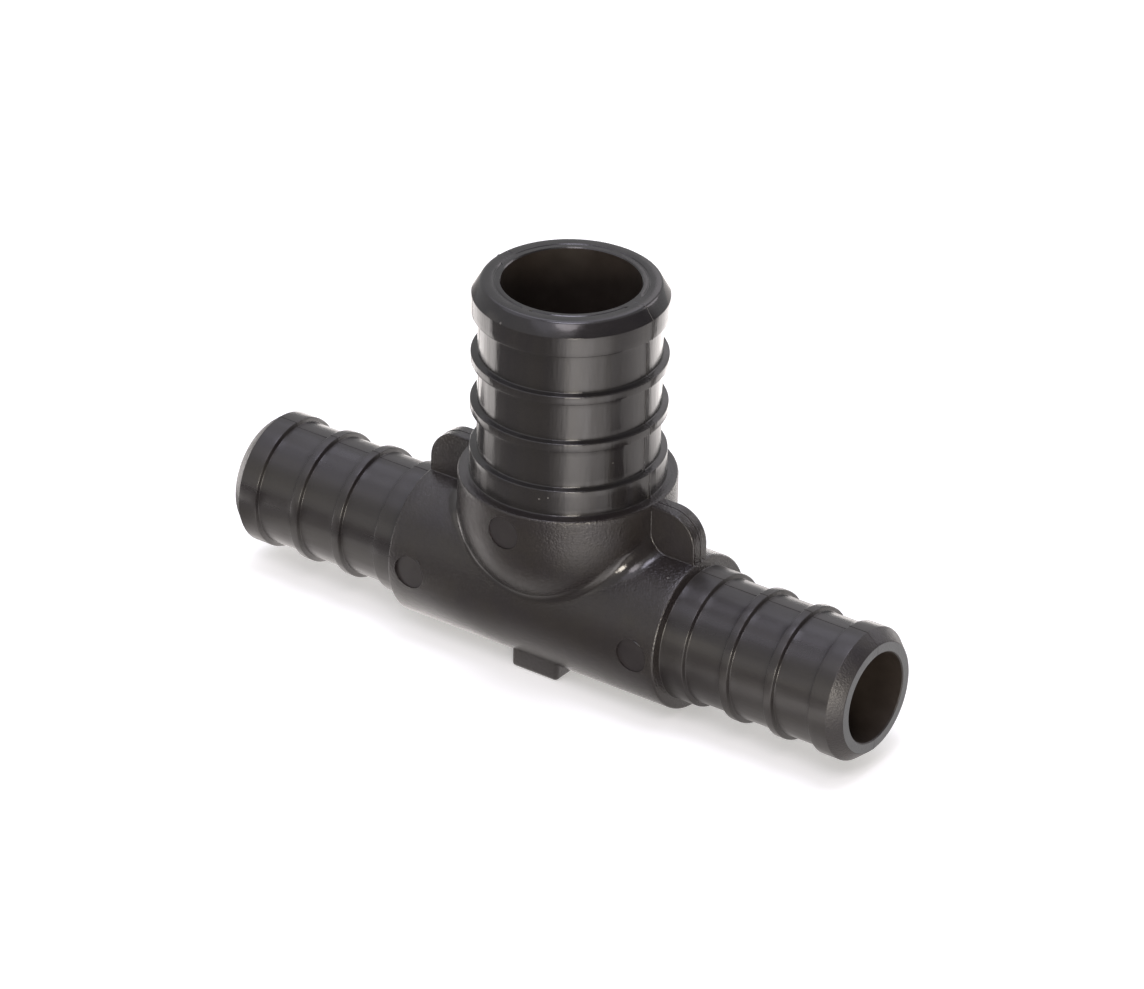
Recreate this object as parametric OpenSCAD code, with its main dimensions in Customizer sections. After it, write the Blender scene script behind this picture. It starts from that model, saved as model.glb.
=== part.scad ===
// Barbed reducing tee for plastic water pipe, moulded in one piece of black resin.
// The run lies along X and the larger branch stands up along Z.
// The two axes cross at the origin. All sizes are in millimetres.

/* [Pipe ends] */
// Length of the plain shoulder that stops the pipe
shoulder_l = 2.45; // [1.5:0.05:4]
// Length of each groove between two raised bands
groove_l = 3.87; // [2.5:0.01:6]
// Width of each sealing rib at its crown
rib_w = 0.82; // [0.5:0.02:1.4]
// Slope of the ribs' flanks, measured along the axis
rib_flank = 0.06; // [0.02:0.02:0.4]
// Sealing ribs on each pipe end
rib_count = 2; // [1:1:4]
// Length of the plain band behind the tip
nose_l = 1.88; // [1:0.02:4]
// Length of the lead-in cone at the tip
tip_l = 1.17; // [0.6:0.01:2]

/* [Run] */
// Bore through the run
run_bore_d = 8.36; // [8.2:0.02:9]
// Stem of the run ends, at the bottom of the grooves
run_stem_d = 11.45; // [11:0.01:11.7]
// Ribs, nose and shoulder of the run ends
run_barb_d = 12.3; // [12.1:0.02:13]
// End face of the run ends
run_tip_d = 10.3; // [9.6:0.02:10.8]
// Round body between the two run ends
body_d = 14.34; // [14.2:0.02:15.6]
// Length of that body
body_l = 28.95; // [28:0.05:36]

/* [Branch] */
// Bore of the branch
branch_bore_d = 12.42; // [10:0.02:13]
// Narrower port that joins the branch bore to the run bore
port_d = 8; // [6:0.1:8.1]
// Stem of the branch end, at the bottom of the grooves
branch_stem_d = 16.27; // [15.6:0.01:16.8]
// Ribs, nose and shoulder of the branch end
branch_barb_d = 17.5; // [17.2:0.02:18]
// End face of the branch end
branch_tip_d = 15.85; // [15:0.02:16.4]
// Barrel at the foot of the branch
barrel_d = 19.56; // [19.2:0.02:20.4]
// Height of the barrel's rim above the run axis
barrel_top = 11.6; // [11:0.05:15]
// Height at which the barrel turns into its round lower end
dome_z = 8.95; // [8.9:0.05:9.8]

/* [Webs and foot] */
// Thickness of the two webs beside the barrel
web_t = 2; // [1.2:0.05:3]
// Gap between a web's outer edge and the end of the body
web_inset = 0.1; // [0.05:0.05:1.5]
// Radius of the web's outer corner
web_corner = 3; // [1.5:0.05:3.4]
// Rounding along the web's edges
web_edge = 0.15; // [0.1:0.05:0.5]
// Step from the barrel's rim down to the top of the webs
web_drop = 0.1; // [0.05:0.05:1]
// Length of the foot along the run
foot_l = 5; // [3:0.1:9]
// Width of the foot across the run
foot_w = 9.4; // [7:0.1:12]
// How far the foot stands proud of the body
foot_proud = 0.1; // [0.05:0.05:1]
// Rounding along the foot's edges
foot_edge = 0.4; // [0.1:0.05:0.8]

/* [Edges and marks] */
// Small rounding along the moulded bands
edge_r = 0.1; // [0.04:0.01:0.16]
// Rounding at the rims of the body and of the barrel
rim_r = 0.2; // [0.1:0.02:0.5]
// Hollow fillet between the barrel and the body
saddle_r = 1.15; // [0.8:0.05:1.8]
// Diameter of the round ejector marks
mark_d = 3.1; // [2:0.1:4]
// Depth of the ejector marks at their edge
mark_depth = 0.08; // [0.04:0.01:0.2]
// Height of the branch bore's floor above the run axis
branch_floor = 5.2; // [4.6:0.1:7]
// Length of the cone between the branch bore and the port
throat_l = 2; // [1:0.1:2.4]

/* [Hidden] */
$fn = 96;

barrel_r = barrel_d / 2;
body_r = body_d / 2;
stem_l = shoulder_l + nose_l + tip_l + rib_count * rib_w + (rib_count + 1) * groove_l;
run_half = body_l / 2 + stem_l;
branch_top = barrel_top + stem_l;
web_out = body_l / 2 - web_inset;
web_top = barrel_top - web_drop;
foot_low = -body_r - foot_proud;
mark_x = (barrel_r + body_l / 2) / 2;
mark_z = (body_r + barrel_top) / 2;
arc_sag = 0.005;
cut = 1;

// Unit vector from a to b in the plane
function heading(a, b) = (b - a) / norm(b - a);

// Points of an arc of radius r that replaces the corner b of the path a, b, c
function round_corner(a, b, c, r) =
    let (
        u = heading(b, a),
        v = heading(b, c),
        half = acos(u * v) / 2,
        centre = b + (u + v) / norm(u + v) * r / sin(half),
        p = b + u * r / tan(half) - centre,
        q = b + v * r / tan(half) - centre,
        sweep = sign(p.x * q.y - p.y * q.x) * (180 - 2 * half),
        steps = ceil(abs(sweep) / (2 * acos(1 - arc_sag / r)))
    )
    [for (i = [0:steps])
        let (t = sweep * i / steps)
        centre + [p.x * cos(t) - p.y * sin(t), p.x * sin(t) + p.y * cos(t)]];

// A closed outline of [x, y, r] corners, each rounded by its own r
function softened(path) =
    let (n = len(path))
    [for (i = [0:n - 1])
        let (
            b = [path[i].x, path[i].y],
            a = [path[(i + n - 1) % n].x, path[(i + n - 1) % n].y],
            c = [path[(i + 1) % n].x, path[(i + 1) % n].y]
        )
        each (path[i].z > 0 ? round_corner(a, b, c, path[i].z) : [b])];

// Outer corners [radius, station, rounding] of a pipe end that starts at a station
function barb_corners(start, stem_r, barb_r, tip_r) =
    let (
        first = start + shoulder_l,
        nose = start + stem_l - tip_l - nose_l
    )
    [
        [barb_r, start, edge_r],
        [barb_r, first, edge_r],
        [stem_r, first + rib_flank, edge_r],
        for (i = [0:rib_count - 1])
            let (low = first + groove_l + i * (groove_l + rib_w))
            each [
                [stem_r, low - rib_flank, edge_r],
                [barb_r, low, edge_r],
                [barb_r, low + rib_w, edge_r],
                [stem_r, low + rib_w + rib_flank, edge_r]
            ],
        [stem_r, nose - rib_flank, edge_r],
        [barb_r, nose, edge_r],
        [barb_r, nose + nose_l, edge_r],
        [tip_r, nose + nose_l + tip_l, edge_r],
        [0, nose + nose_l + tip_l, 0]
    ];

// Branch: barrel with its rim, its round lower end, and the larger pipe end
module branch_solid() {
    barrel = [[0, dome_z, 0], [barrel_r, dome_z, 0], [barrel_r, barrel_top, rim_r]];
    ends = barb_corners(barrel_top, branch_stem_d / 2, branch_barb_d / 2, branch_tip_d / 2);
    rotate_extrude()
        polygon(softened(concat(barrel, ends)));
    translate([0, 0, dome_z])
        sphere(barrel_r);
}

// Run: the round body and a pipe end, turned from the middle out to one end
module run_solid(turn) {
    body = [[0, 0, 0], [body_r, 0, 0], [body_r, body_l / 2, rim_r]];
    ends = barb_corners(body_l / 2, run_stem_d / 2, run_barb_d / 2, run_tip_d / 2);
    rotate([0, turn, 0])
        rotate_extrude()
            polygon(softened(concat(body, ends)));
}

// Web beside the barrel on the +X side: a plate whose free edges are rounded all along
module web() {
    corner_x = web_out - web_corner;
    corner_z = web_top - web_corner;
    section = softened([
        [0, -web_t / 2, 0],
        [web_corner, -web_t / 2, web_edge],
        [web_corner, web_t / 2, web_edge],
        [0, web_t / 2, 0]
    ]);
    translate([corner_x, 0, corner_z])
        rotate([90, 0, 0])
            rotate_extrude(angle = 90)
                polygon(section);
    translate([corner_x, 0, 0])
        linear_extrude(corner_z)
            polygon(section);
    translate([0, 0, corner_z])
        rotate([90, 0, 90])
            linear_extrude(corner_x)
                polygon([for (p = section) [p.y, p.x]]);
    translate([0, -web_t / 2, 0])
        cube([corner_x, web_t, corner_z]);
}

// Foot under the middle of the run: a block with rounded corners and lower edges
module foot() {
    depth = -foot_low;
    l = foot_l / 2;
    w = foot_w / 2;
    r = foot_edge;
    intersection() {
        translate([0, 0, foot_low])
            linear_extrude(depth)
                polygon(softened([[-l, -w, r], [l, -w, r], [l, w, r], [-l, w, r]]));
        rotate([90, 0, 0])
            linear_extrude(foot_w + 2 * cut, center = true)
                polygon(softened([[-l, -depth, r], [l, -depth, r], [l, 0, 0], [-l, 0, 0]]));
        rotate([90, 0, 90])
            linear_extrude(foot_l + 2 * cut, center = true)
                polygon(softened([[-w, -depth, r], [w, -depth, r], [w, 0, 0], [-w, 0, 0]]));
    }
}

// Saddle fillet: the path of a ball that rolls round the crotch of barrel and body,
// touching the body on one side and the barrel or its round lower end on the other.
roll_r = body_r + saddle_r;
reach = barrel_r + saddle_r;
roll_steps = 14;
bead_steps = 8;
bead_bite = 0.04;
bead_root = 0.7;

// Angle round the run axis at which the ball reaches the middle plane
roll_end = acos((roll_r * roll_r + dome_z * dome_z - reach * reach) / (2 * roll_r * dome_z));

// One station of the ball: its centre and the direction to it from the barrel
function station(t) =
    let (
        y = roll_r * sin(t),
        z = roll_r * cos(t),
        drop = min(0, z - dome_z),
        x = sqrt(max(0, reach * reach - y * y - drop * drop))
    )
    [[x, y, z], [x, y, drop] / reach];

quarter = [for (i = [0:roll_steps]) station(roll_end * sin(90 * i / roll_steps))];

// Section of the bead at a station: a root inside the solids, then the hollow arc
function bead_section(station, mx, my) =
    let (
        centre = station[0],
        from_barrel = station[1],
        from_run = [0, centre.y, centre.z] / norm([0, centre.y, centre.z]),
        gap = acos(from_barrel * from_run),
        inward = -(from_barrel + from_run) / norm(from_barrel + from_run),
        root = centre + inward * (saddle_r / cos(gap / 2) + bead_root),
        arc = [for (i = [0:bead_steps])
            let (k = i / bead_steps)
            centre - (from_barrel * sin(gap * (1 - k)) + from_run * sin(gap * k))
                / sin(gap) * (saddle_r + bead_bite)]
    )
    [for (p = concat([root], arc)) [p.x * mx, p.y * my, p.z]];

module saddle_bead() {
    n = len(quarter) - 1;
    rings = [
        for (i = [0:n - 1]) bead_section(quarter[i], 1, 1),
        for (i = [n:-1:1]) bead_section(quarter[i], -1, 1),
        for (i = [0:n - 1]) bead_section(quarter[i], -1, -1),
        for (i = [n:-1:1]) bead_section(quarter[i], 1, -1)
    ];
    m = len(rings[0]);
    count = len(rings);
    polyhedron(
        points = [for (ring = rings) each ring],
        faces = [for (i = [0:count - 1], j = [0:m - 1])
            let (
                a = i * m + j,
                b = i * m + (j + 1) % m,
                c = ((i + 1) % count) * m + (j + 1) % m,
                d = ((i + 1) % count) * m + j
            )
            each [[a, c, b], [a, d, c]]]
    );
}

// Bore of the run, straight through, with softened mouths
module run_bore() {
    r = run_bore_d / 2;
    far = run_half + cut;
    rotate([0, 90, 0])
        rotate_extrude()
            polygon([
                [0, -far],
                [r + edge_r, -far],
                [r + edge_r, -run_half],
                [r, -run_half + edge_r],
                [r, run_half - edge_r],
                [r + edge_r, run_half],
                [r + edge_r, far],
                [0, far]
            ]);
}

// Bore of the branch, its cone and the port down to the run
module branch_bore() {
    r = branch_bore_d / 2;
    rotate_extrude()
        polygon([
            [0, 0],
            [port_d / 2, 0],
            [port_d / 2, branch_floor - throat_l],
            [r, branch_floor],
            [r, branch_top - edge_r],
            [r + edge_r, branch_top],
            [r + edge_r, branch_top + cut],
            [0, branch_top + cut]
        ]);
}

// Round ejector mark: a flat just below a surface of radius r, on the -Y side
module ejector_mark(x, z, r) {
    flat_y = sqrt(r * r - mark_d * mark_d / 4) - mark_depth;
    translate([x, -flat_y, z])
        rotate([90, 0, 0])
            cylinder(d = mark_d, h = cut);
}

module tee() {
    color([0.16, 0.16, 0.17])
        difference() {
            union() {
                branch_solid();
                run_solid(90);
                run_solid(-90);
                web();
                mirror([1, 0, 0])
                    web();
                foot();
                saddle_bead();
            }
            run_bore();
            branch_bore();
            ejector_mark(-mark_x, 0, body_r);
            ejector_mark(mark_x, 0, body_r);
            ejector_mark(0, mark_z, barrel_r);
        }
}

tee();
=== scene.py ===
import math

import bmesh
import bpy
from mathutils import Matrix, Vector


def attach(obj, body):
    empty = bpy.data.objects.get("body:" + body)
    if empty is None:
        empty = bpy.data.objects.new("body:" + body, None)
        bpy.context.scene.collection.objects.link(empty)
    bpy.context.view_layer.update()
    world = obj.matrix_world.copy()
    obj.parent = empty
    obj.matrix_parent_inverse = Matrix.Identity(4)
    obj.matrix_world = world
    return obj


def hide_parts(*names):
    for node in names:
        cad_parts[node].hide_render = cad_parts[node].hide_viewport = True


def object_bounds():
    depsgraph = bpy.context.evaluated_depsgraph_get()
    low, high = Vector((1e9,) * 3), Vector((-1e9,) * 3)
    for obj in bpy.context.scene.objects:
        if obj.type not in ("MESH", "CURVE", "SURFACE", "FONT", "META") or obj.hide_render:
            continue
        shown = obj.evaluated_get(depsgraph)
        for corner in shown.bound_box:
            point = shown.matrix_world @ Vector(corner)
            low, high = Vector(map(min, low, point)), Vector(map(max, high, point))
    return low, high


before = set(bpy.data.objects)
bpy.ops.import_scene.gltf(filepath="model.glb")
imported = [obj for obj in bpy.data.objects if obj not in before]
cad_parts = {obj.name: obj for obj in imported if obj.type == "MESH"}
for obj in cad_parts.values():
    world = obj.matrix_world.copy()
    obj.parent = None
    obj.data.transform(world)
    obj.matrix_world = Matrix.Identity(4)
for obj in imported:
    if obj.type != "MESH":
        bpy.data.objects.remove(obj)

cad_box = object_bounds()
bpy.ops.object.select_all(action="DESELECT")
scene = bpy.context.scene

# Camera
# It stands where the photographer stood: in front of the marked side, to the right and above,
# with a long lens 0.7 m away, and is turned a little about its own axis.
azimuth, elevation, roll = (math.radians(angle) for angle in (35.216, 29.163, 1.095))
camera_place = (0.353547, -0.500204, 0.350765)
back = Vector((
    math.sin(azimuth) * math.cos(elevation),
    -math.cos(azimuth) * math.cos(elevation),
    math.sin(elevation),
))
level = Vector((math.cos(azimuth), math.sin(azimuth), 0))
upright = back.cross(level)
right = level * math.cos(roll) + upright * math.sin(roll)
up = upright * math.cos(roll) - level * math.sin(roll)
lens = bpy.data.cameras.new("photo_camera")
lens.lens = 249.6
lens.sensor_width = 36
lens.clip_start = 0.05
camera = bpy.data.objects.new("photo_camera", lens)
camera.matrix_world = (
    Matrix.Translation(camera_place)
    @ Matrix((right, up, back)).transposed().to_4x4()
)
scene.collection.objects.link(camera)
scene.camera = camera

# Floor and light
# A pale table under the foot, a white surround with a dark panel on the right, and round soft
# lamps a metre away, cool above and warm near the table. The resin mirrors them all. To all but the
# camera the table glows with painted light and shade. This stands in for the lit table and the
# tee's
# own shadow on it: more light at the front right, the back and the left than in front.
scene.view_settings.view_transform = "Standard"
white_level, surround_level, panel_level = 1.0, 0.62, 0.15
panel_side, panel_edge = (0.9986, -0.0523, 0), (0.48, 0.56)

def node(tree, kind, sockets=(), **settings):
    """A node with its settings, and its sockets given a value or a link each."""
    made = tree.nodes.new(kind)
    for title, value in settings.items():
        setattr(made, title, value)
    for title, value in dict(sockets).items():
        if isinstance(value, bpy.types.NodeSocket):
            tree.links.new(value, made.inputs[title])
        else:
            made.inputs[title].default_value = value
    return made

world = bpy.data.worlds.new("studio")
world.use_nodes = True
scene.world = world
sky = world.node_tree
place = node(sky, "ShaderNodeTexCoord").outputs["Generated"]
to_panel = node(
    sky, "ShaderNodeVectorMath", {0: place, 1: panel_side},
    operation="DOT_PRODUCT").outputs["Value"]
mirrored = node(sky, "ShaderNodeMapRange", {
    "Value": to_panel, "From Min": panel_edge[0], "From Max": panel_edge[1],
    "To Min": surround_level, "To Max": panel_level}).outputs["Result"]
by_camera = node(sky, "ShaderNodeLightPath").outputs["Is Camera Ray"]
strength = node(sky, "ShaderNodeMix", {"Factor": by_camera, "A": mirrored, "B": white_level})
surround = sky.nodes["Background"]
surround.inputs["Color"].default_value = (1, 1, 1, 1)
sky.links.new(strength.outputs["Result"], surround.inputs["Strength"])

# Levels of the painted glow that the table gives off to all but the camera, standing in for light
# and shadow on it, as pairs of a turn in degrees and a level.
under_glow = (
    (0, 0.25), (25, 0.25), (60, 0.4), (95, 0.8), (130, 1.2), (140, 0.7), (165, 1.2), (240, 1.4),
    (250, 1.6), (284, 1.5), (291, 1.6), (302, 1.1), (308, 0.5), (330, 0.4), (360, 0.25),
)
inner_glow = (
    (0, 0.3), (25, 0.5), (36, 1.8), (54, 1.8), (64, 0.8), (95, 0.9), (130, 1.2), (140, 0.7),
    (165, 1.2), (240, 2.0), (250, 2.8), (268, 2.8), (276, 1.5), (284, 1.2), (292, 1.5), (304, 1.5),
    (308, 0.5), (330, 0.4), (360, 0.3),
)
rim_glow = (
    (0, 0.4), (25, 0.6), (36, 1.9), (54, 1.9), (64, 0.8), (95, 0.9), (130, 1.2), (140, 0.7),
    (165, 1.2), (230, 1.2), (238, 0.4), (289, 0.4), (294, 0.8), (303, 0.8), (308, 0.5), (330, 0.5),
    (360, 0.4),
)
middle_glow = (
    (0, 0.3), (12, 0.35), (20, 0.9), (28, 2.0), (38, 3.6), (52, 3.9), (62, 3.0), (74, 2.2),
    (86, 1.1), (96, 0.9), (108, 1.1), (125, 1.5), (136, 1.5), (140, 0.4), (145, 0.4), (150, 3.0),
    (175, 3.7), (238, 3.4), (242, 0.6), (246, 0.6), (250, 3.2), (294, 3.4), (299, 0.4),
    (340, 0.35), (360, 0.3),
)
outer_glow = ((0, 0.2), (130, 0.25), (150, 1.1), (225, 1.1), (245, 0.6), (260, 0.3), (360, 0.2))
# Painted table light: rings by radius in metres, each with its levels of painted glow.
painted_table_glow = (
    (0.015, under_glow), (0.019, under_glow), (0.023, inner_glow), (0.034, inner_glow),
    (0.037, rim_glow), (0.047, rim_glow),
    (0.051, middle_glow), (0.12, middle_glow),
    (0.15, outer_glow), (2.0, outer_glow),
)
glow_tint, arc_step = (1, 0.95, 0.93), 2
floor_z = cad_box[0][2] - 0.00002
radius = painted_table_glow[0][0]
bpy.ops.mesh.primitive_circle_add(
    vertices=360 // arc_step, radius=radius, fill_type="TRIFAN", location=(0, 0, floor_z))
floor = bpy.context.object
floor.name = "floor"
bpy.ops.object.transform_apply(location=True, rotation=True, scale=True)
bpy.ops.object.mode_set(mode="EDIT")
bpy.ops.mesh.region_to_loop()
for next_radius, _ in painted_table_glow[1:]:
    bpy.ops.mesh.extrude_edges_move()
    scale = next_radius / radius
    bpy.ops.transform.resize(value=(scale, scale, 1), center_override=(0, 0, floor_z))
    radius = next_radius
bpy.ops.mesh.select_all(action="SELECT")
bpy.ops.mesh.normals_make_consistent(inside=False)
bpy.ops.object.mode_set(mode="OBJECT")
floor.select_set(False)
# Each point of the table gets its level of painted glow from the nearest ring and its turn.
glow = floor.data.color_attributes.new("glow", "FLOAT_COLOR", "POINT")
for vertex, value in zip(floor.data.vertices, glow.data):
    radius = vertex.co.to_2d().length
    turn = math.degrees(math.atan2(vertex.co.x, -vertex.co.y)) % 360
    _, marks = min(painted_table_glow, key=lambda ring: abs(ring[0] - radius))
    end = next(k for k, (mark, _) in enumerate(marks) if turn < mark or mark == 360)
    (low, low_level), (high, high_level) = marks[end - 1], marks[end]
    level = low_level + (high_level - low_level) * (turn - low) / (high - low)
    value.color = (*(share * level for share in glow_tint), 1)

white = bpy.data.materials.new("white_table")
white.use_nodes = True
table = white.node_tree
seen = table.nodes["Principled BSDF"]
seen.inputs["Base Color"].default_value = (0.9, 0.9, 0.9, 1)
seen.inputs["Roughness"].default_value = 0.9
seen.inputs["Specular IOR Level"].default_value = 0
seen.inputs["Emission Color"].default_value = (1, 1, 1, 1)
seen.inputs["Emission Strength"].default_value = 0.3
levels = node(table, "ShaderNodeVertexColor", layer_name="glow").outputs["Color"]
# Painted light and shade: rays other than the camera's see the table glow at these levels.
painted_glow = node(table, "ShaderNodeEmission", {"Color": levels}).outputs["Emission"]
by_camera = node(table, "ShaderNodeLightPath").outputs["Is Camera Ray"]
either = node(
    table, "ShaderNodeMixShader", {"Fac": by_camera, 1: painted_glow, 2: seen.outputs["BSDF"]})
table.links.new(either.outputs["Shader"], table.nodes["Material Output"].inputs["Surface"])
floor.data.materials.append(white)

# Each lamp has its turn and rise in degrees, its width in metres, its brightness and its tint.
cool, neutral, warm = (0.96, 0.93, 1.12), (1.04, 0.96, 1.02), (1.06, 0.98, 0.86)
for turn, rise, size, brightness, tint in (
    (0, 88, 0.4, 6.5, cool),
    (0, 55, 0.6, 0.7, cool),
    (300, 55, 0.6, 0.6, cool),
    (240, 55, 0.6, 0.55, cool),
    (210, 55, 0.6, 0.8, cool),
    (30, 55, 0.4, 4.6, neutral),
    (160, 30, 0.4, 2.2, neutral),
    (200, 30, 0.4, 0.7, neutral),
    (40, 11, 0.33, 20.0, warm),
    (64, 5, 0.5, 0.8, warm),
    (340, 8, 0.5, 0.5, warm),
    (300, 8, 0.5, 0.4, warm),
):
    lamp = bpy.data.lights.new(f"lamp_{turn}_{rise}", "AREA")
    lamp.shape = "DISK"
    lamp.size = size
    lamp.color = tint
    lamp.energy = brightness * math.pi * math.pi * (size / 2) ** 2
    stand = bpy.data.objects.new(lamp.name, lamp)
    around, above = math.radians(turn), math.radians(rise)
    stand.location = (
        math.sin(around) * math.cos(above), -math.cos(around) * math.cos(above), math.sin(above))
    stand.rotation_euler = (-stand.location).to_track_quat("-Z", "Y").to_euler()
    stand.visible_camera = False
    scene.collection.objects.link(stand)

# Run
# The level part of the tee: a round body with a barbed pipe end each side. It is turned here in
# millimetres as one solid about its axis, from the lathe-turned inserts that mould the pipe ends.
shoulder_l, groove_l, rib_w, rib_flank = 2.45, 3.87, 0.82, 0.06
nose_l, tip_l = 1.88, 1.17
stem_l = shoulder_l + nose_l + tip_l + 2 * rib_w + 3 * groove_l
run_stem_r, run_barb_r, run_tip_r, run_bore_r = 5.725, 6.15, 5.15, 4.18
body_r, body_half = 7.17, 14.475
run_half = body_half + stem_l
edge_r, rim_r = 0.1, 0.2
run_brow_r, branch_brow_r = 0.2, 0.45
corner_steps, run_stretch, run_sides, inside = 3, 0.8, 224, 0.5

def pipe_end(start, stem_r, barb_r, tip_r, brow_r):
    """Corners of a barbed pipe end, as radius, station and rounding, from its shoulder out."""
    corners = [
        (barb_r, start, edge_r),
        (barb_r, start + shoulder_l, edge_r),
        (stem_r, start + shoulder_l + rib_flank, edge_r),
    ]
    for rib in range(2):
        low = start + shoulder_l + groove_l + rib * (groove_l + rib_w)
        corners += [
            (stem_r, low - rib_flank, edge_r),
            (barb_r, low, edge_r),
            (barb_r, low + rib_w, edge_r),
            (stem_r, low + rib_w + rib_flank, edge_r),
        ]
    nose = start + stem_l - tip_l - nose_l
    return corners + [
        (stem_r, nose - rib_flank, edge_r),
        (barb_r, nose, edge_r),
        (barb_r, nose + nose_l, edge_r),
        (tip_r, nose + nose_l + tip_l, brow_r),
    ]

def softened(corners, arc_steps, longest):
    """The outline through the corners: each is rounded, and long straight stretches are divided."""
    outline = []
    for i, (radius, station, rounding) in enumerate(corners):
        corner = Vector((radius, station))
        if rounding == 0:
            arc = [corner]
        else:
            u = (Vector(corners[i - 1][:2]) - corner).normalized()
            v = (Vector(corners[i + 1][:2]) - corner).normalized()
            half = u.angle(v) / 2
            centre = corner + (u + v).normalized() * rounding / math.sin(half)
            tangent = rounding / math.tan(half)
            first = corner + u * tangent - centre
            last = corner + v * tangent - centre
            sweep = math.pi - 2 * half
            arc = [
                centre + (first * math.sin(sweep * (1 - k / arc_steps))
                          + last * math.sin(sweep * k / arc_steps)) / math.sin(sweep)
                for k in range(arc_steps + 1)
            ]
        if outline:
            start, gap = outline[-1], arc[0] - outline[-1]
            pieces = math.ceil(gap.length / longest)
            outline += [start + gap * k / pieces for k in range(1, pieces)]
        outline += arc
    return outline

def turned(name, outline, sides):
    """A solid turned about Z: a disc at the outline's start, extruded and scaled along it."""
    radius, station = outline[0]
    bpy.ops.mesh.primitive_circle_add(
        vertices=sides, radius=radius, fill_type="NGON", location=(0, 0, station))
    solid = bpy.context.object
    solid.name = name
    bpy.ops.object.transform_apply(location=True, rotation=True, scale=True)
    bpy.ops.object.mode_set(mode="EDIT")
    for next_radius, next_station in outline[1:]:
        bpy.ops.mesh.extrude_region_move(
            TRANSFORM_OT_translate={"value": (0, 0, next_station - station)})
        scale = next_radius / radius
        bpy.ops.transform.resize(value=(scale, scale, 1), center_override=(0, 0, next_station))
        radius, station = next_radius, next_station
    bpy.ops.mesh.select_all(action="SELECT")
    bpy.ops.mesh.normals_make_consistent(inside=False)
    bpy.ops.object.mode_set(mode="OBJECT")
    bpy.ops.object.select_all(action="DESELECT")
    return solid

half = [(body_r, body_half, rim_r)] + pipe_end(
    body_half, run_stem_r, run_barb_r, run_tip_r, run_brow_r)
other_half = [(radius, -station, rounding) for radius, station, rounding in reversed(half)]

run_corners = (
    [(run_bore_r - inside, -run_half, 0)] + other_half + half
    + [(run_bore_r - inside, run_half, 0)]
)
along_x, along_y = (Matrix.Rotation(math.radians(90), 4, axis) for axis in "YX")
run = turned("run", softened(run_corners, corner_steps, run_stretch), run_sides)
run.data.transform(along_x)

# Branch
# The upright part: a barrel with a half-round lower end that sinks into the run, and the larger
# barbed pipe end on its rim. It is turned in one about Z, and the barrel is its widest part.
barrel_r, barrel_top, dome_z = 9.78, 11.6, 8.95
branch_stem_r, branch_barb_r, branch_tip_r, branch_bore_r = 8.135, 8.75, 7.925, 6.21
branch_top = barrel_top + stem_l
dome_steps, branch_stretch, branch_sides = 40, 0.6, 256
core_groove, core_soft = ((0.72, 0), (0.64, 0.07), (0.52, 0.07), (0.44, 0.01)), 0.03
dome = [
    (barrel_r * math.sin(math.pi / 2 * k / dome_steps),
     dome_z - barrel_r * math.cos(math.pi / 2 * k / dome_steps))
    for k in range(1, dome_steps)
]

def core_ring(bore_r, face):
    """The fine groove and lip that the core pin's sleeve leaves round a bore in the end face."""
    ring = [(bore_r + out, face - down, core_soft) for out, down in core_groove]
    return ring + [(bore_r - inside, ring[-1][1], 0)]

barrel_corners = [(barrel_r, dome_z, 0), (barrel_r, barrel_top, rim_r)]
branch_corners = (
    barrel_corners
    + pipe_end(barrel_top, branch_stem_r, branch_barb_r, branch_tip_r, branch_brow_r)
    + core_ring(branch_bore_r, branch_top)
)
branch_outline = softened(branch_corners, corner_steps, branch_stretch)
branch = turned("branch", dome + [tuple(p) for p in branch_outline], branch_sides)

# Saddle fillet
# The hollow blend between barrel and body, cut into the mould with a ball-nosed tool. It is the
# path of a ball that rolls round the crotch, touches run and dome, and is larger beside the webs.
saddle_r, saddle_wide_r = 1.15, 1.9
widens_from, wide_at = math.radians(56), math.radians(34)
quarter_steps, hollow_steps, saddle_overlap, saddle_root = 64, 22, 0.004, 0.7
roll_r, reach = body_r + saddle_r, barrel_r + saddle_r
roll_end = math.acos((roll_r ** 2 + dome_z ** 2 - reach ** 2) / (2 * roll_r * dome_z))

def saddle_ball(turn):
    """The ball's radius and centre, and the directions to it from the barrel and from the run."""
    rise = min(1, max(0, (widens_from - turn) / (widens_from - wide_at)))
    radius = saddle_r + (saddle_wide_r - saddle_r) * rise * rise * (3 - 2 * rise)
    roll_r, reach = body_r + radius, barrel_r + radius
    y, z = -roll_r * math.sin(turn), roll_r * math.cos(turn)
    drop = min(0, z - dome_z)
    x = math.sqrt(max(0, reach ** 2 - y ** 2 - drop ** 2))
    return radius, Vector((x, y, z)), Vector((x, y, drop)) / reach, Vector((0, y, z)) / roll_r

def hollow_section(centre, from_a, from_b, radius, root, steps):
    """Section of a fillet's solid: a root inside its walls, then the hollow arc between them."""
    gap = from_a.angle(from_b)
    inward = -(from_a + from_b).normalized()
    arc = [
        centre
        - (from_a * math.sin(gap * (1 - k / steps)) + from_b * math.sin(gap * k / steps))
        / math.sin(gap) * radius
        for k in range(steps + 1)
    ]
    return [centre + inward * (radius / math.cos(gap / 2) + root)] + arc

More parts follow.
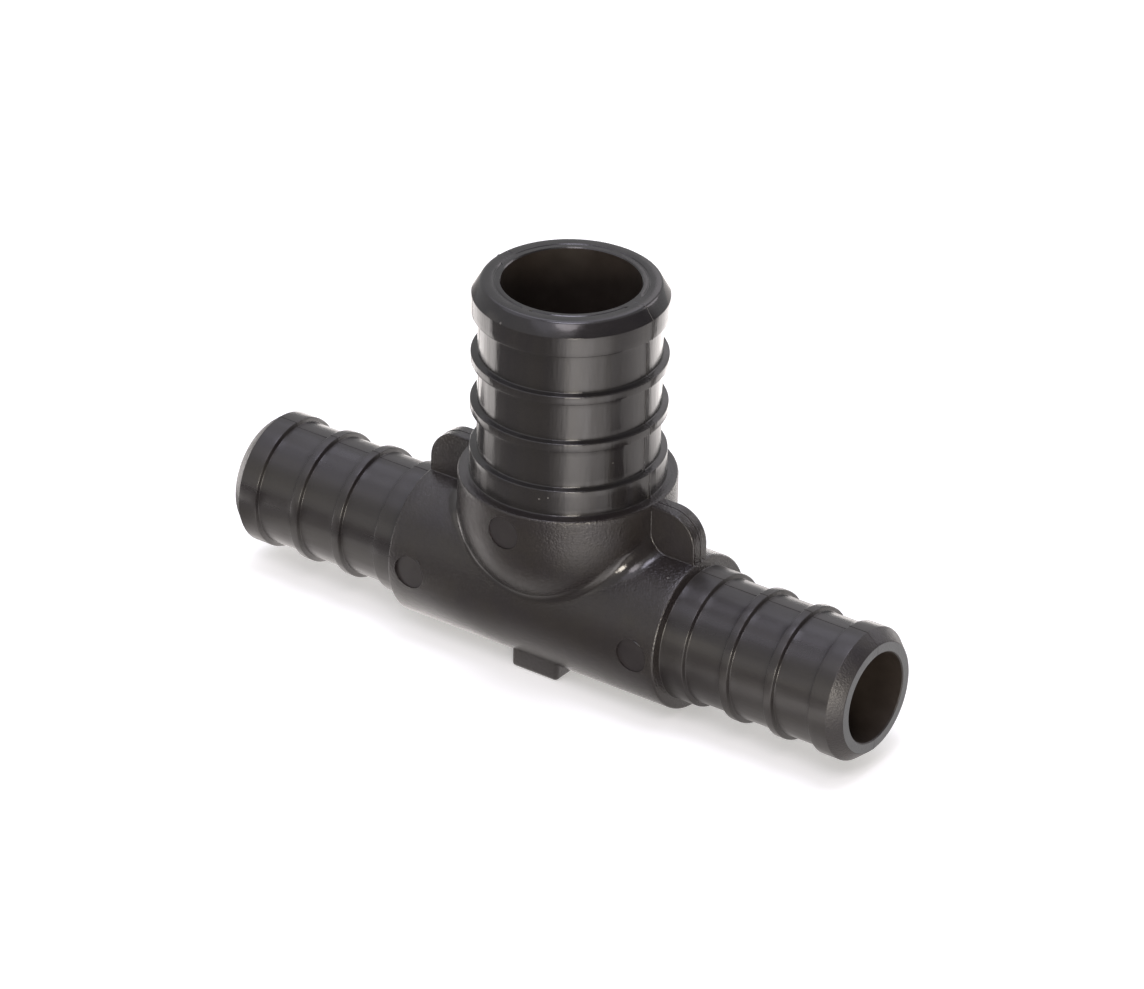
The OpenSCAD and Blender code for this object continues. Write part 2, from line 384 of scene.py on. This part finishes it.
def swept(name, rings, closed):
    """A solid through rings of equally many points, a loop or a bar with two ends."""
    across, count = len(rings[0]), len(rings)
    faces = [
        (i * across + j, i * across + (j + 1) % across,
         (i + 1) % count * across + (j + 1) % across, (i + 1) % count * across + j)
        for i in range(count if closed else count - 1) for j in range(across)
    ]
    if not closed:
        faces += [tuple(range(across)), tuple(range((count - 1) * across, count * across))]
    mesh = bpy.data.meshes.new(name)
    mesh.from_pydata([tuple(p) for ring in rings for p in ring], [], faces)
    solid = bpy.data.objects.new(name, mesh)
    scene.collection.objects.link(solid)
    bpy.context.view_layer.objects.active = solid
    solid.select_set(True)
    bpy.ops.object.mode_set(mode="EDIT")
    bpy.ops.mesh.select_all(action="SELECT")
    bpy.ops.mesh.normals_make_consistent(inside=False)
    bpy.ops.object.mode_set(mode="OBJECT")
    solid.select_set(False)
    return solid

quarter = []
for k in range(quarter_steps + 1):
    radius, *section = saddle_ball(roll_end * math.sin(math.pi / 2 * k / quarter_steps))
    quarter.append(hollow_section(*section, radius + saddle_overlap, saddle_root, hollow_steps))

def flipped(rings, x, y):
    return [[Vector((p.x * x, p.y * y, p.z)) for p in ring] for ring in rings]

saddle = swept("saddle_fillet", (
    quarter[:-1] + flipped(quarter[:0:-1], -1, 1)
    + flipped(quarter[:-1], -1, -1) + flipped(quarter[:0:-1], 1, -1)
), True)

# Webs
# Two flat webs stiffen the corners between barrel and run. They lie along the parting line, have a
# round outer corner and softened edges, and their roots blend into the body in a small hollow.
web_t, web_out, web_top, web_corner, web_edge, web_root = 2, 14.375, 11.5, 3, 0.16, 0.12
corner_segments, edge_segments, near = 20, 4, 0.01
root_from_top, root_from_rim, root_overlap, root_sunk, root_steps = 0.45, 0.03, 0.002, 0.3, 5

def block(name, low, high):
    middle = [(a + b) / 2 for a, b in zip(low, high)]
    bpy.ops.mesh.primitive_cube_add(size=1, location=middle)
    cube = bpy.context.object
    cube.name = name
    cube.scale = [b - a for a, b in zip(low, high)]
    bpy.ops.object.transform_apply(location=True, rotation=True, scale=True)
    return cube

def bevel_where(solid, wanted, width, segments):
    """Rounds the edges of a solid whose two ends both meet the test."""
    bpy.context.view_layer.objects.active = solid
    bpy.ops.object.mode_set(mode="EDIT")
    bpy.ops.mesh.select_mode(type="EDGE")
    bpy.ops.mesh.select_all(action="DESELECT")
    shape = bmesh.from_edit_mesh(solid.data)
    for edge in shape.edges:
        edge.select_set(wanted(edge.verts[0].co, edge.verts[1].co))
    bmesh.update_edit_mesh(solid.data)
    bpy.ops.mesh.bevel(offset=width, offset_type="OFFSET", segments=segments, profile=0.5)
    bpy.ops.object.mode_set(mode="OBJECT")

webs = []
for side in (1, -1):
    web = block(
        f"web_{'right' if side > 0 else 'left'}",
        (min(0, side * web_out), -web_t / 2, 0),
        (max(0, side * web_out), web_t / 2, web_top),
    )
    bevel_where(
        web,
        lambda a, b: (
            min(a.x * side, b.x * side) > web_out - near and min(a.z, b.z) > web_top - near),
        web_corner, corner_segments,
    )
    bevel_where(
        web,
        lambda a, b: abs(a.y - b.y) < near and max(abs(a.x), abs(b.x)) > 1 and max(a.z, b.z) > 1,
        web_edge, edge_segments,
    )
    web.select_set(False)
    webs.append(web)

def root_ball(station):
    """Ball that rolls along a web's root: down the barrel, round the saddle, out along the run."""
    y = -web_t / 2 - web_root
    from_web = Vector((0, -1, 0))
    out = math.sqrt((barrel_r + web_root) ** 2 - y * y)
    if station <= 1:
        z = web_top - root_from_top + (dome_z - web_top + root_from_top) * station
        return Vector((out, y, z)), from_web, Vector((out, y, 0)).normalized()
    if station <= 2:
        low, high = 0.0, roll_end
        blend = station - 1
        for _ in range(40):
            turn = (low + high) / 2
            radius, middle, from_barrel, from_run = saddle_ball(turn)
            gap = from_barrel.angle(from_run)
            away = from_barrel * math.sin(gap * (1 - blend)) + from_run * math.sin(gap * blend)
            away /= math.sin(gap)
            centre = middle - away * (radius - web_root)
            if centre.y > y:
                low = turn
            else:
                high = turn
        return centre, from_web, away
    z = math.sqrt((body_r + web_root) ** 2 - y * y)
    start = root_ball(2)[0].x
    x = start + (body_half - rim_r - root_from_rim - start) * (station - 2)
    return Vector((x, y, z)), from_web, Vector((0, y, z)).normalized()

down_barrel = [k / 8 for k in range(9)]
round_saddle = [1 + k / 24 for k in range(1, 25)]
along_run = [2 + k / 8 for k in range(1, 9)]
root_rings = [
    hollow_section(*root_ball(station), web_root + root_overlap, root_sunk, root_steps)
    for station in down_barrel + round_saddle + along_run
]
roots = [
    swept(f"web_root_{number}", flipped(root_rings, x, y), False)
    for number, (x, y) in enumerate(((1, 1), (1, -1), (-1, 1), (-1, -1)))
]

# Foot
# A small block under the middle of the run, where the ejector and the gate trimming rest.
# It is moulded with the body, with rounded corners and lower edges.
foot_half_l, foot_half_w, foot_drop, foot_edge, foot_segments = 2.5, 4.7, 0.1, 0.4, 5
foot = block(
    "foot", (-foot_half_l, -foot_half_w, -body_r - foot_drop), (foot_half_l, foot_half_w, 0))
bevel_where(
    foot,
    lambda a, b: min(a.z, b.z) < -1 and not (abs(a.z) < near and abs(b.z) < near),
    foot_edge, foot_segments,
)
foot.select_set(False)

# Parting line
# The two halves of the mould meet in the plane of the webs. They leave a hair-fine ridge along the
# branch, the run and the webs' edges, and it swells to a small spur where it meets a ledge.
ridge, seam_half_t, bar_thin = 0.03, 0.03, 0.9
spur_sunk, spur_thin, spur_sides = 0.06, 0.75, 24

def grown(corners):
    return [(radius + ridge, station) for radius, station, _ in corners]

def four_sided(name, outline):
    """A bar with four corners. Two reach just out of the round solid, two stay inside it."""
    bar = turned(name, outline, 4)
    bar.data.transform(Matrix.Diagonal((1, bar_thin, 1, 1)))
    return bar

branch_seam = four_sided("branch_seam", [(branch_barb_r, barrel_top - 1)] + grown(
    pipe_end(barrel_top, branch_stem_r, branch_barb_r, branch_tip_r, branch_brow_r)))
run_seam = four_sided("run_seam", grown(other_half + half))
run_seam.data.transform(along_x)
seams = [branch_seam, run_seam]
for side in (1, -1):
    seam = block(
        f"web_seam_{'right' if side > 0 else 'left'}",
        (min(0, side * (web_out + ridge)), -seam_half_t, 0),
        (max(0, side * (web_out + ridge)), seam_half_t, web_top + ridge),
    )
    bevel_where(
        seam,
        lambda a, b: min(a.x * side, b.x * side) > web_out and min(a.z, b.z) > web_top,
        web_corner + ridge, corner_segments,
    )
    seam.select_set(False)
    seams.append(seam)
for side in (1, -1):
    for foot_z, stem_wall, height, width in (
        (barrel_top, branch_barb_r, 2.1, 0.3),
        (barrel_top + shoulder_l, branch_stem_r, 1.5, 0.24),
        (barrel_top + shoulder_l + groove_l + rib_w, branch_stem_r, 0.9, 0.18),
    ):
        bpy.ops.mesh.primitive_cone_add(
            vertices=spur_sides, radius1=width, radius2=0, depth=height + 0.1,
            location=(side * (stem_wall - spur_sunk), 0, foot_z + height / 2 - 0.05))
        spur = bpy.context.object
        spur.name = "spur"
        spur.scale = (spur_thin, 1, 1)
        bpy.ops.object.transform_apply(location=True, rotation=True, scale=True)
        spur.select_set(False)
        seams.append(spur)

# One moulding
# The solids are fused into the single shell that comes out of the mould.
def combine(target, others, operation):
    group = bpy.data.collections.new("fusing")
    scene.collection.children.link(group)
    for other in others:
        group.objects.link(other)
    fuse = target.modifiers.new("fuse", "BOOLEAN")
    fuse.operation = operation
    fuse.operand_type = "COLLECTION"
    fuse.collection = group
    fuse.solver = "MANIFOLD"
    bpy.context.view_layer.objects.active = target
    bpy.ops.object.modifier_apply(modifier=fuse.name)
    for other in others:
        bpy.data.objects.remove(other)
    bpy.data.collections.remove(group)

tee = run
tee.name = "moulded_tee"
combine(tee, [branch, saddle, foot] + webs + roots + seams, "UNION")

# Bores
# The run is bored straight through. The branch bore ends in a cone and a narrower port that opens
# into it, as the three core pins of the mould left them.
port_r, cone_from, cone_to, past = 4, 3.2, 5.2, 0.5
run_bore_sides, branch_bore_sides = 160, 176
run_bore = turned("run_bore", [
    (run_bore_r + edge_r + past, -run_half - past),
    (run_bore_r, -run_half + edge_r),
    (run_bore_r, run_half - edge_r),
    (run_bore_r + edge_r + past, run_half + past),
], run_bore_sides)
run_bore.data.transform(along_x)
branch_bore = turned("branch_bore", [
    (port_r, 0),
    (port_r, cone_from),
    (branch_bore_r, cone_to),
    (branch_bore_r, branch_top - edge_r),
    (branch_bore_r + edge_r + past, branch_top + past),
], branch_bore_sides)
combine(tee, [run_bore, branch_bore], "DIFFERENCE")

# Ejector marks
# Three flats where pins pushed the part out of the mould, one on the barrel and two on the body.
mark_r, mark_depth, mark_sides = 1.55, 0.08, 64
mark_spots = ((-12.1275, 0, body_r), (12.1275, 0, body_r), (0, 9.385, barrel_r))
marks = []
for x, z, wall_r in mark_spots:
    flat_y = math.sqrt(wall_r ** 2 - mark_r ** 2) - mark_depth
    mark = turned("mark", [(mark_r, flat_y), (mark_r, flat_y + 1)], mark_sides)
    mark.data.transform(Matrix.Translation((x, 0, z)) @ along_y)
    marks.append(mark)
combine(tee, marks, "DIFFERENCE")

# Burrs and dents
# A sliver stands up at the rim of two ejector marks, and the branch's mouth has three small dents.
def pip(name, place, size, lean):
    bpy.ops.mesh.primitive_uv_sphere_add(segments=16, ring_count=10, radius=1, location=place)
    bead = bpy.context.object
    bead.name = name
    bead.scale = size
    bead.rotation_euler = (0, lean, 0)
    bpy.ops.object.transform_apply(location=True, rotation=True, scale=True)
    bead.select_set(False)
    return bead

combine(tee, [
    pip("burr_right", (12.6, -7.03, 1.42), (0.42, 0.07, 0.07), math.radians(22)),
    pip("burr_left", (-11.1, -7.06, 1.3), (0.30, 0.06, 0.06), math.radians(35)),
], "UNION")
combine(tee, [
    pip("dent_rim", (6.2, 0.45, 30.36), (0.16, 0.2, 0.12), 0),
    pip("dent_left", (-7.4, 0.95, 30.37), (0.35, 0.14, 0.09), 0),
    pip("dent_back", (0.95, 6.72, 30.37), (0.28, 0.12, 0.08), 0),
], "DIFFERENCE")

tee.data.transform(Matrix.Scale(0.001, 4))
bpy.context.view_layer.objects.active = tee
tee.select_set(True)
bpy.ops.object.shade_smooth_by_angle(angle=math.radians(30), keep_sharp_edges=False)
tee.select_set(False)

# Finishes
# One black resin, with the skin of the steel it was moulded against. Spark-eroded steel leaves a
# fine grain on body, barrel, webs and foot; turned inserts leave drawn hair lines on the pipe ends.
MM = 1000
dust_grey = (0.10, 0.097, 0.093, 1)
dust_specks = (
    ((-1.39, -8.64, 29.29), 0.16), ((3.57, -7.99, 13.34), 0.10), ((2.82, -8.28, 13.12), 0.12),
    ((13.15, -3.15, 6.44), 0.13), ((26.9, -4.4, 3.9), 0.09), ((7.31, -3.57, 16.15), 0.07),
)
seam_from, seam_to = 0.03, 0.08
resin_ior, low_patch, high_patch = 1.54, 0.35, 0.65

def shader_group(name, inputs, outputs):
    """A node group with its sockets, and the two nodes that stand for them inside."""
    tree = bpy.data.node_groups.new(name, "ShaderNodeTree")
    for title, kind, value in inputs:
        socket = tree.interface.new_socket(title, in_out="INPUT", socket_type=kind)
        socket.default_value = value
    for title, kind in outputs:
        tree.interface.new_socket(title, in_out="OUTPUT", socket_type=kind)
    return tree, tree.nodes.new("NodeGroupInput"), tree.nodes.new("NodeGroupOutput")

skin, given, put_out = shader_group(
    "moulded_skin",
    (("Stretch", "NodeSocketVector", (1, 1, 1)), ("Grain", "NodeSocketFloat", 4),
     ("Patches", "NodeSocketFloat", 0.3)),
    (("Height", "NodeSocketFloat"), ("Patch", "NodeSocketFloat"), ("Dust", "NodeSocketFloat"),
     ("Seam", "NodeSocketFloat")),
)
place = node(skin, "ShaderNodeTexCoord").outputs["Object"]
in_mm = node(
    skin, "ShaderNodeVectorMath", {0: place, 1: (MM, MM, MM)}, operation="MULTIPLY").outputs[0]
stretched = node(
    skin, "ShaderNodeVectorMath", {0: in_mm, 1: given.outputs["Stretch"]},
    operation="MULTIPLY").outputs[0]
grain = node(skin, "ShaderNodeTexNoise", {
    "Vector": stretched, "Scale": given.outputs["Grain"], "Detail": 2.0, "Roughness": 0.55})
patch = node(skin, "ShaderNodeTexNoise", {
    "Vector": stretched, "Scale": given.outputs["Patches"], "Detail": 3.0, "Roughness": 0.6})
skin.links.new(grain.outputs["Fac"], put_out.inputs["Height"])
skin.links.new(patch.outputs["Fac"], put_out.inputs["Patch"])
across = node(skin, "ShaderNodeSeparateXYZ", {0: in_mm}).outputs["Y"]
off_seam = node(skin, "ShaderNodeMath", {0: across}, operation="ABSOLUTE").outputs[0]
seam_line = node(skin, "ShaderNodeMapRange", {
    "Value": off_seam, "From Min": seam_from, "From Max": seam_to,
    "To Min": 1, "To Max": 0}).outputs[0]
skin.links.new(seam_line, put_out.inputs["Seam"])
specks = None
for spot, size in dust_specks:
    gap = node(skin, "ShaderNodeVectorMath", {0: in_mm, 1: spot}, operation="DISTANCE")
    dot = node(skin, "ShaderNodeMapRange", {
        "Value": gap.outputs["Value"], "From Min": size * 0.5, "From Max": size,
        "To Min": 1, "To Max": 0}).outputs[0]
    if specks is not None:
        dot = node(skin, "ShaderNodeMath", {0: dot, 1: specks}, operation="MAXIMUM").outputs[0]
    specks = dot
skin.links.new(specks, put_out.inputs["Dust"])

def resin(name, base, tone, roughness, grain, patches, stretch, depth, anisotropy=0, axis=None,
          seam_matt=0.35):
    """Black resin: base colour to tone and roughness low to high by patches, grain as bump."""
    material = bpy.data.materials.new(name)
    material.use_nodes = True
    tree = material.node_tree
    shader = tree.nodes["Principled BSDF"]
    shader.inputs["IOR"].default_value = resin_ior
    laid = node(
        tree, "ShaderNodeGroup", {"Stretch": stretch, "Grain": grain, "Patches": patches},
        node_tree=skin).outputs
    mottle = node(tree, "ShaderNodeMapRange", {
        "Value": laid["Patch"], "From Min": low_patch, "From Max": high_patch}).outputs[0]
    colour = node(
        tree, "ShaderNodeMix", {"Factor": mottle, "A": (*base, 1), "B": (*tone, 1)},
        data_type="RGBA")
    dusty = node(
        tree, "ShaderNodeMix",
        {"Factor": laid["Dust"], "A": colour.outputs["Result"], "B": dust_grey}, data_type="RGBA")
    skin_gloss = node(tree, "ShaderNodeMapRange", {
        "Value": mottle, "To Min": roughness[0], "To Max": roughness[1]}).outputs[0]
    gloss = node(
        tree, "ShaderNodeMath", {0: laid["Seam"], 1: seam_matt, 2: skin_gloss},
        operation="MULTIPLY_ADD").outputs[0]
    bump = node(tree, "ShaderNodeBump", {
        "Strength": 1.0, "Distance": depth / MM, "Height": laid["Height"]})
    tree.links.new(dusty.outputs["Result"], shader.inputs["Base Color"])
    tree.links.new(gloss, shader.inputs["Roughness"])
    tree.links.new(bump.outputs["Normal"], shader.inputs["Normal"])
    if anisotropy:
        shader.inputs["Anisotropic"].default_value = anisotropy
        shader.inputs["Anisotropic Rotation"].default_value = 0.25
        place = node(tree, "ShaderNodeTexCoord").outputs["Object"]
        round_axis = node(
            tree, "ShaderNodeVectorMath", {0: axis, 1: place}, operation="CROSS_PRODUCT")
        tree.links.new(round_axis.outputs[0], shader.inputs["Tangent"])
    return material

even = (1, 1, 1)
grained = resin("grained_resin", (0.0150, 0.0122, 0.0130), (0.0175, 0.0145, 0.0130),
                (0.17, 0.23), 5.6, 0.35, even, 0.060, seam_matt=0.12)
saddle_skin = resin("saddle_resin", (0.0140, 0.0118, 0.0125), (0.0165, 0.0140, 0.0130),
                    (0.15, 0.20), 3.4, 0.5, even, 0.010)
branch_wall = resin("branch_wall_resin", (0.0125, 0.0112, 0.0122), (0.0155, 0.0138, 0.0132),
                    (0.12, 0.21), 3.2, 0.7, (1, 1, 0.12), 0.0120, 1.0, (0, 0, 1))
run_wall = resin("run_wall_resin", (0.0140, 0.0118, 0.0130), (0.0165, 0.0142, 0.0130),
                 (0.25, 0.42), 2.6, 0.4, (0.12, 1, 1), 0.0060, 0.8, (1, 0, 0))
branch_mouth = resin("branch_mouth_resin", (0.0115, 0.0102, 0.0115), (0.0140, 0.0125, 0.0132),
                     (0.13, 0.20), 1.6, 0.4, even, 0.008)
run_mouth = resin("run_mouth_resin", (0.0150, 0.0128, 0.0145), (0.0190, 0.0165, 0.0160),
                  (0.38, 0.46), 5.0, 0.5, even, 0.045)
run_face = resin("run_face_resin", (0.078, 0.083, 0.090), (0.100, 0.106, 0.114),
                 (0.42, 0.50), 5.5, 0.7, even, 0.040)
# The bores are the same resin as the rest. Their browner, slightly lighter base is painted light, a
# lift that stands in for the glare seen inside them.
bored = resin("bore_painted_glare_resin", (0.022, 0.017, 0.014), (0.028, 0.022, 0.018),
              (0.36, 0.42), 2.2, 0.5, even, 0.004, seam_matt=0)
pin_mark = resin("pin_mark_resin", (0.0160, 0.0130, 0.0142), (0.0195, 0.0165, 0.0170),
                 (0.34, 0.40), 2.5, 0.8, even, 0.003)

finishes = [
    grained, saddle_skin, branch_wall, run_wall, branch_mouth, run_mouth, run_face, bored, pin_mark,
]
tee.data.materials.clear()
for finish in finishes:
    tee.data.materials.append(finish)
clear, mark_clear, bore_floor = 0.02, 0.05, 3
for face in tee.data.polygons:
    x, y, z = face.center * MM
    off_run, off_branch = math.hypot(y, z), math.hypot(x, y)
    off_dome = math.hypot(x, y, min(0, z - dome_z))
    skin_of_face = grained
    # Faces inside the bores get the resin with the painted glare.
    if off_run < run_bore_r + clear or (z > bore_floor and off_branch < branch_bore_r + clear):
        skin_of_face = bored
    elif z > branch_top - tip_l - clear:
        skin_of_face = branch_mouth
    elif abs(x) > run_half - clear:
        skin_of_face = run_face
    elif abs(x) > run_half - tip_l - clear:
        skin_of_face = run_mouth
    elif z > barrel_top + clear:
        skin_of_face = branch_wall
    elif abs(x) > body_half + clear:
        skin_of_face = run_wall
    elif z > 0 and abs(y) > web_t / 2 + web_root and min(
        off_run - body_r, off_dome - barrel_r
    ) > clear:
        skin_of_face = saddle_skin
    elif face.normal.y < -0.999 and any(
        math.hypot(x - spot_x, z - spot_z) < mark_r - mark_clear for spot_x, spot_z, _ in mark_spots
    ):
        skin_of_face = pin_mark
    face.material_index = finishes.index(skin_of_face)

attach(tee, "root")
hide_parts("tee")
